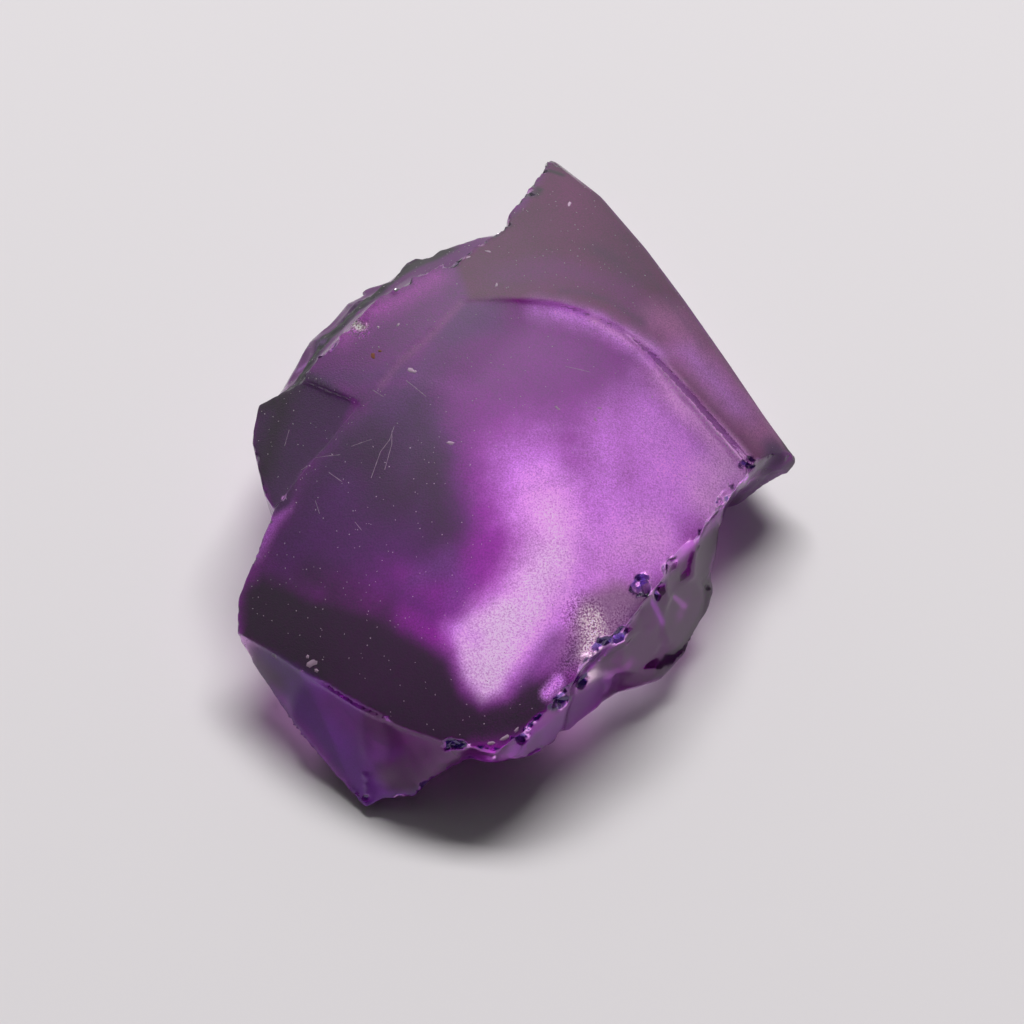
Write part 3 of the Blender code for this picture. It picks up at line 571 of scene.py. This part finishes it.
grain_and_sparkle = EVEN_GRIT * ground
for places, reach, amount in COARSE_GRAIN_AND_SHEEN_PATCHES:
    patch = 1.0 - smoothstep(0.3 * reach, reach, distance_to_stroke(points, places))
    grain_and_sparkle = np.maximum(grain_and_sparkle, amount * patch * ground)

layer = mesh.color_attributes.new("painted_light_zone", "FLOAT_COLOR", "POINT")
layer.data.foreach_set("color", np.hstack([paint, np.ones((len(paint), 1))]).ravel())
layer = mesh.attributes.new("ground", "FLOAT", "POINT")
layer.data.foreach_set("value", ground)
layer = mesh.attributes.new("grain_and_sparkle", "FLOAT", "POINT")
layer.data.foreach_set("value", grain_and_sparkle)

# ------------------------------------------------------------------ violet crystal
# Alexandrite, clear violet, index 1.745. Ground and frosted on top with the grain of a
# coarse abrasive; the breaks are as glossy as glass. Thin parts let more light by.
INDEX = 1.745
LIGHT_LET_IN = 0.88
FROST_GRAIN = 0.075
FROST_PITS = 0.03
SATIN = (0.65, 0.79)
GLASSY = (0.05, 0.19)
SMEAR_SIZE = 0.6
HACKLE_SIZE = 0.28
HACKLE_DEPTH = 0.04
CLOUD_SIZE = 2.0
DEPTH_TINT = (0.84, 0.24, 0.94)
DEPTH_PER_METRE = 32.0


def add(tree, kind, settings=None, links=None):
    """Add a node: settings are its own values or socket values, links are sockets."""
    node = tree.nodes.new(kind)
    for key, value in (settings or {}).items():
        if isinstance(key, str) and hasattr(node, key):
            setattr(node, key, value)
        else:
            node.inputs[key].default_value = value
    for key, source in (links or {}).items():
        tree.links.new(source, node.inputs[key])
    return node


crystal = bpy.data.materials.new("ground_and_broken_alexandrite")
crystal.use_nodes = True
tree = crystal.node_tree
tree.nodes.clear()
place = add(tree, "ShaderNodeTexCoord").outputs["Object"]
# This attribute holds the crystal's violet with the painted light and shade laid over it.
painted_light_zone = add(tree, "ShaderNodeAttribute", {"attribute_name": "painted_light_zone"}).outputs["Color"]
frost = add(tree, "ShaderNodeAttribute", {"attribute_name": "ground"}).outputs["Fac"]

# Faint clouds in the crystal, and the frost's grains, whose sparkle and shade are painted
# as lighter and darker specks.
clouds = add(tree, "ShaderNodeTexNoise",
             {"Scale": 1 / (CLOUD_SIZE * MM), "Detail": 5.0, "Roughness": 0.62}, {"Vector": place})
shade = add(tree, "ShaderNodeMapRange", {"From Min": 0.3, "From Max": 0.7, "To Min": 0.90, "To Max": 1.10},
            {"Value": clouds.outputs["Fac"]})

grain = add(tree, "ShaderNodeTexNoise", {"Scale": 1 / (FROST_GRAIN * MM), "Detail": 2.0, "Roughness": 0.6},
            {"Vector": place})
grain_shade = add(tree, "ShaderNodeMapRange",
                  {"From Min": 0.32, "From Max": 0.68, "To Min": -1.0, "To Max": 1.0},
                  {"Value": grain.outputs["Fac"]})
grain_and_sparkle = add(tree, "ShaderNodeAttribute", {"attribute_name": "grain_and_sparkle"}).outputs["Fac"]
swing = add(tree, "ShaderNodeMath", {"operation": "MULTIPLY"}, {0: grain_shade.outputs["Result"], 1: grain_and_sparkle})
grain_light = add(tree, "ShaderNodeVectorMath", {"operation": "SCALE", 0: (1.0, 1.7, 1.0)},
                  {"Scale": swing.outputs[0]})
grain_light = add(tree, "ShaderNodeVectorMath", {"operation": "ADD"},
                  {0: grain_light.outputs[0], 1: shade.outputs["Result"]})
tinted = add(tree, "ShaderNodeVectorMath", {"operation": "MULTIPLY"}, {0: painted_light_zone, 1: grain_light.outputs[0]})

# Roughness: satin where ground, glassy with faint smears where broken.
satin = add(tree, "ShaderNodeMapRange", {"To Min": SATIN[0], "To Max": SATIN[1]},
            {"Value": grain.outputs["Fac"]})
smear = add(tree, "ShaderNodeTexNoise", {"Scale": 1 / (SMEAR_SIZE * MM), "Detail": 2.0}, {"Vector": place})
glassy = add(tree, "ShaderNodeMapRange", {"To Min": GLASSY[0], "To Max": GLASSY[1]},
             {"Value": smear.outputs["Fac"]})
rough = add(tree, "ShaderNodeMix", {"data_type": "FLOAT"},
            {0: frost, 2: glassy.outputs["Result"], 3: satin.outputs["Result"]})

# Relief too fine for the mesh: pits of the abrasive and fine hackle on the breaks.
frost_depth = add(tree, "ShaderNodeMath", {"operation": "MULTIPLY", 1: 0.5}, {0: frost})
pitted = add(tree, "ShaderNodeBump", {"Distance": FROST_PITS * MM},
             {"Strength": frost_depth.outputs[0], "Height": grain.outputs["Fac"]})
hackle = add(tree, "ShaderNodeTexNoise", {"Scale": 1 / (HACKLE_SIZE * MM), "Detail": 3.0}, {"Vector": place})
glass_share = add(tree, "ShaderNodeMath", {"operation": "SUBTRACT", 0: 1.0}, {1: frost})
glass_depth = add(tree, "ShaderNodeMath", {"operation": "MULTIPLY", 1: 0.06}, {0: glass_share.outputs[0]})
relief = add(tree, "ShaderNodeBump", {"Distance": HACKLE_DEPTH * MM},
             {"Strength": glass_depth.outputs[0], "Height": hackle.outputs["Fac"],
              "Normal": pitted.outputs["Normal"]})

# Light is tinted as it leaves the crystal through the skin, not as it comes in. It is
# squared because the shader takes the root of its colour at each surface it refracts at.
squared = add(tree, "ShaderNodeVectorMath", {"operation": "MULTIPLY"},
              {0: tinted.outputs[0], 1: tinted.outputs[0]})
from_inside = add(tree, "ShaderNodeNewGeometry").outputs["Backfacing"]
colour = add(tree, "ShaderNodeMix", {"data_type": "RGBA", 7: (1.0, 1.0, 1.0, 1.0)},
             {0: from_inside, 6: squared.outputs[0]})
shader = add(tree, "ShaderNodeBsdfPrincipled", {"IOR": INDEX, "Transmission Weight": LIGHT_LET_IN},
             {"Base Color": colour.outputs[2], "Roughness": rough.outputs[0],
              "Normal": relief.outputs["Normal"]})
depth_tint = add(tree, "ShaderNodeVolumeAbsorption",
                 {"Color": (*DEPTH_TINT, 1.0), "Density": DEPTH_PER_METRE})
add(tree, "ShaderNodeOutputMaterial", None,
    {"Surface": shader.outputs["BSDF"], "Volume": depth_tint.outputs["Volume"]})
mesh.materials.clear()
mesh.materials.append(crystal)
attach(stone, "root")
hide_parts("rough_alexandrite")

# ------------------------------------------------------------------ surface dust
# Loose mineral dust and paper fluff caught by the frosted skin: specks of 0.03 to
# 0.09 mm across, scattered thinly over the ground skin and the dull ledge.
DUST_PER_MM2 = 1.6
DUST_RADIUS = 0.028


def group_input(tree, name, kind, value):
    """Give a geometry node group a named input and return its identifier."""
    socket = tree.interface.new_socket(name=name, in_out="INPUT", socket_type=kind)
    if value is not None:
        socket.default_value = value
    return socket.identifier


def matt(name, colour, roughness):
    """A plain matt material of one colour."""
    material = bpy.data.materials.new(name)
    material.use_nodes = True
    base = material.node_tree.nodes["Principled BSDF"]
    base.inputs["Base Color"].default_value = (*linear(colour), 1.0)
    base.inputs["Roughness"].default_value = roughness
    return material


pale_dust = matt("pale_mineral_dust", "#c0a8bc", 0.95)
scatter = bpy.data.node_groups.new("dust_scatter", "GeometryNodeTree")
scatter.is_modifier = True
group_input(scatter, "Skin", "NodeSocketGeometry", None)
density_id = group_input(scatter, "Specks per m2", "NodeSocketFloat", 0.0)
size_id = group_input(scatter, "Speck radius", "NodeSocketFloat", 0.0)
scatter.interface.new_socket(name="Dust", in_out="OUTPUT", socket_type="NodeSocketGeometry")
given = add(scatter, "NodeGroupInput")
ground_share = add(scatter, "GeometryNodeInputNamedAttribute", {"data_type": "FLOAT", "Name": "ground"})
bare = add(scatter, "FunctionNodeCompare", {"data_type": "FLOAT", "operation": "GREATER_THAN", 1: 0.5},
           {0: ground_share.outputs["Attribute"]})
spots = add(scatter, "GeometryNodeDistributePointsOnFaces", {"distribute_method": "RANDOM", "Seed": 7},
            {"Mesh": given.outputs["Skin"], "Selection": bare.outputs["Result"],
             "Density": given.outputs["Specks per m2"]})
speck = add(scatter, "GeometryNodeMeshIcoSphere", {"Subdivisions": 1},
            {"Radius": given.outputs["Speck radius"]})
turn = add(scatter, "FunctionNodeRandomValue",
           {"data_type": "FLOAT_VECTOR", "Max": (6.28, 6.28, 6.28), "Seed": 3})
grow = add(scatter, "FunctionNodeRandomValue",
           {"data_type": "FLOAT_VECTOR", "Min": (0.5, 0.5, 0.4), "Max": (1.6, 1.3, 1.0), "Seed": 5})
laid = add(scatter, "GeometryNodeInstanceOnPoints", None,
           {"Points": spots.outputs["Points"], "Instance": speck.outputs["Mesh"],
            "Rotation": turn.outputs[0], "Scale": grow.outputs[0]})
real = add(scatter, "GeometryNodeRealizeInstances", None, {"Geometry": laid.outputs["Instances"]})
dressed = add(scatter, "GeometryNodeSetMaterial", {"Material": pale_dust},
              {"Geometry": real.outputs["Geometry"]})
add(scatter, "NodeGroupOutput", None, {0: dressed.outputs["Geometry"]})

carrier = bpy.data.objects.new("dust_carrier", mesh.copy())
bpy.context.scene.collection.objects.link(carrier)
dusting = carrier.modifiers.new("dust", "NODES")
dusting.node_group = scatter
dusting[density_id] = DUST_PER_MM2 / MM ** 2
dusting[size_id] = DUST_RADIUS * MM
depsgraph = bpy.context.evaluated_depsgraph_get()
dust_mesh = bpy.data.meshes.new_from_object(carrier.evaluated_get(depsgraph))
bpy.data.objects.remove(carrier)
dust = bpy.data.objects.new("surface_dust", dust_mesh)
bpy.context.scene.collection.objects.link(dust)
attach(dust, "root")

# ------------------------------------------------------------------ flecks and hairlines
# Bigger flecks of pale grit and two rusty ones stuck to the skin, and the hairline
# scratches that show pale where the frost was cut through.
PALE = 0
RUST = 1
# Place in plan, half length, half width, turn in degrees, colour.
FLECKS = (
    (-9.1, -10.6, 0.26, 0.17, 70.0, PALE),
    (-8.9, -10.9, 0.12, 0.09, 20.0, PALE),
    (-9.3, -10.3, 0.10, 0.07, 110.0, PALE),
    (-4.8, 1.4, 0.16, 0.10, 30.0, PALE),
    (-4.6, 1.3, 0.09, 0.06, 80.0, PALE),
    (-3.0, -2.1, 0.19, 0.09, 10.0, PALE),
    (1.7, -0.2, 0.15, 0.05, 60.0, PALE),
    (3.6, 0.1, 0.13, 0.05, 100.0, PALE),
    (3.4, -0.5, 0.11, 0.05, 40.0, PALE),
    (2.4, 12.1, 0.24, 0.08, 110.0, PALE),
    (-6.5, 2.3, 0.16, 0.10, 15.0, RUST),
    (-6.2, 2.5, 0.09, 0.06, 60.0, RUST),
    (-0.6, -14.1, 0.22, 0.10, 25.0, PALE),
    (-1.2, -14.3, 0.16, 0.08, 10.0, PALE),
    (-0.1, -13.8, 0.14, 0.07, 50.0, PALE),
    (-5.4, 3.8, 0.10, 0.06, 0.0, PALE),
    (-6.3, 3.8, 0.08, 0.06, 40.0, PALE),
    (-1.0, 5.9, 0.12, 0.07, 90.0, PALE),
    (-1.4, 8.0, 0.14, 0.06, 0.0, PALE),
    (-2.3, 7.6, 0.12, 0.06, 20.0, PALE),
)
SCRATCHES = (
    ((-5.5, -1.2), (-5.7, -1.8), (-6.1, -2.3), (-6.5, -3.4)),
    ((-5.9, -3.1), (-5.6, -2.0), (-5.6, -1.4)),
    ((-7.4, -1.9), (-6.5, -1.7)),
    ((-7.9, -2.2), (-9.0, -2.1), (-9.7, -2.3)),
    ((-9.0, -4.0), (-8.8, -4.6)),
    ((2.1, 2.0), (3.2, 1.9)),
    ((-7.2, -5.2), (-6.9, -5.6)),
    ((-10.3, -0.3), (-10.5, -1.0)),
    ((-6.5, 0.6), (-6.0, 0.2)),
    ((-5.0, 0.9), (-4.1, 0.1)),
    ((-8.4, -2.9), (-7.8, -3.4)),
)
FLECK_HEIGHT = 0.03
HAIR_WIDTH = 0.014
HAIR_HEIGHT = 0.006
HAIR_STEP = 0.12
skin = BVHTree.FromPolygons([v.co for v in mesh.vertices], [p.vertices for p in mesh.polygons])


def on_skin(x, y):
    """The point of the skin above a place in plan, and the skin's normal there."""
    hit, normal, face, gap = skin.ray_cast(Vector((x * MM, y * MM, 0.02)), Vector((0.0, 0.0, -1.0)))
    return hit, normal


marks = bmesh.new()
dice = random.Random(12)
for x, y, long, wide, turn, colour in FLECKS:
    hit, normal = on_skin(x, y)
    made = bmesh.ops.create_icosphere(marks, subdivisions=2, radius=1.0)
    lay = normal.to_track_quat("Z", "Y") @ Quaternion((0.0, 0.0, 1.0), math.radians(turn))
    for vertex in made["verts"]:
        spread = dice.uniform(0.6, 1.25)
        local = Vector((vertex.co.x * long * spread, vertex.co.y * wide * spread, vertex.co.z * FLECK_HEIGHT))
        vertex.co = hit + lay @ (local * MM)
    for face in {face for vertex in made["verts"] for face in vertex.link_faces}:
        face.material_index = colour
for scratch in SCRATCHES:
    rails = []
    for (x0, y0), (x1, y1) in zip(scratch[:-1], scratch[1:]):
        steps = max(2, int(math.hypot(x1 - x0, y1 - y0) / HAIR_STEP))
        run = Vector((x1 - x0, y1 - y0, 0.0)).normalized()
        for step in range(steps + (scratch[-1] == (x1, y1))):
            share = step / steps
            hit, normal = on_skin(x0 + (x1 - x0) * share, y0 + (y1 - y0) * share)
            side = normal.cross(run) * HAIR_WIDTH * MM * dice.uniform(0.4, 1.2)
            rails.append([marks.verts.new(hit + side), marks.verts.new(hit + normal * HAIR_HEIGHT * MM),
                          marks.verts.new(hit - side)])
    for one, two in zip(rails[:-1], rails[1:]):
        for k in range(3):
            marks.faces.new((one[k], one[(k + 1) % 3], two[(k + 1) % 3], two[k]))
    marks.faces.new(rails[0][::-1])
    marks.faces.new(rails[-1])
bmesh.ops.recalc_face_normals(marks, faces=marks.faces)
mark_mesh = bpy.data.meshes.new("flecks_and_scratches")
marks.to_mesh(mark_mesh)
marks.free()
mark_mesh.materials.append(matt("pale_grit_and_cut_frost", "#a88ca4", 0.9))
mark_mesh.materials.append(matt("rusty_grit", "#6e3a26", 0.9))
flecks = bpy.data.objects.new("flecks_and_scratches", mark_mesh)
bpy.context.scene.collection.objects.link(flecks)
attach(flecks, "root")

# ------------------------------------------------------------------ table, light, view
# A matt pale sheet of paper under the stone, one wide soft light high behind it, and a
# bright room that is darker on the near side.
PAPER = "#d6d2d4"
PAPER_SIZE = 0.8
PAPER_LEVEL = -0.00002
LIGHT_FROM = (0.05, 0.55, 0.634)
LIGHT_SIZE = (0.62, 0.16)
LIGHT_WATTS = 9.4
ROOM = "#fcfaff"
ROOM_DARKEST = 0.03
ROOM_BRIGHTEST = 0.45
VIEW_FROM = (-0.0003, -0.063492, 0.118017)
VIEW_TILT = 28.0
LENS = 100.0

bpy.ops.mesh.primitive_plane_add(size=PAPER_SIZE, location=(0.0, 0.0, PAPER_LEVEL))
paper = bpy.context.object
paper.name = "paper"
paper.data.materials.append(matt("matt_paper", PAPER, 0.9))

softbox = bpy.data.lights.new("softbox", "AREA")
softbox.shape = "RECTANGLE"
softbox.size, softbox.size_y = LIGHT_SIZE
softbox.energy = LIGHT_WATTS
lamp = bpy.data.objects.new("softbox", softbox)
lamp.location = LIGHT_FROM
lamp.rotation_euler = (-Vector(LIGHT_FROM)).to_track_quat("-Z", "Y").to_euler()
bpy.context.scene.collection.objects.link(lamp)

room = bpy.data.worlds.new("room")
bpy.context.scene.world = room
room.use_nodes = True
tree = room.node_tree
tree.nodes.clear()
direction = add(tree, "ShaderNodeTexCoord").outputs["Generated"]
split = add(tree, "ShaderNodeSeparateXYZ", None, {0: direction})
depth_of_room = add(tree, "ShaderNodeMapRange",
                    {"From Min": -0.1, "From Max": 0.95, "To Min": ROOM_DARKEST, "To Max": ROOM_BRIGHTEST},
                    {"Value": split.outputs["Y"]})
background = add(tree, "ShaderNodeBackground", {"Color": (*linear(ROOM), 1.0)},
                 {"Strength": depth_of_room.outputs["Result"]})
add(tree, "ShaderNodeOutputWorld", None, {"Surface": background.outputs[0]})

view = bpy.data.cameras.new("view")
view.lens = LENS
view.sensor_width = 36.0
view.clip_start = 0.01
camera = bpy.data.objects.new("view", view)
camera.location = VIEW_FROM
camera.rotation_euler = (math.radians(VIEW_TILT), 0.0, 0.0)
bpy.context.scene.collection.objects.link(camera)
bpy.context.scene.camera = camera
bpy.context.scene.view_settings.view_transform = "Standard"
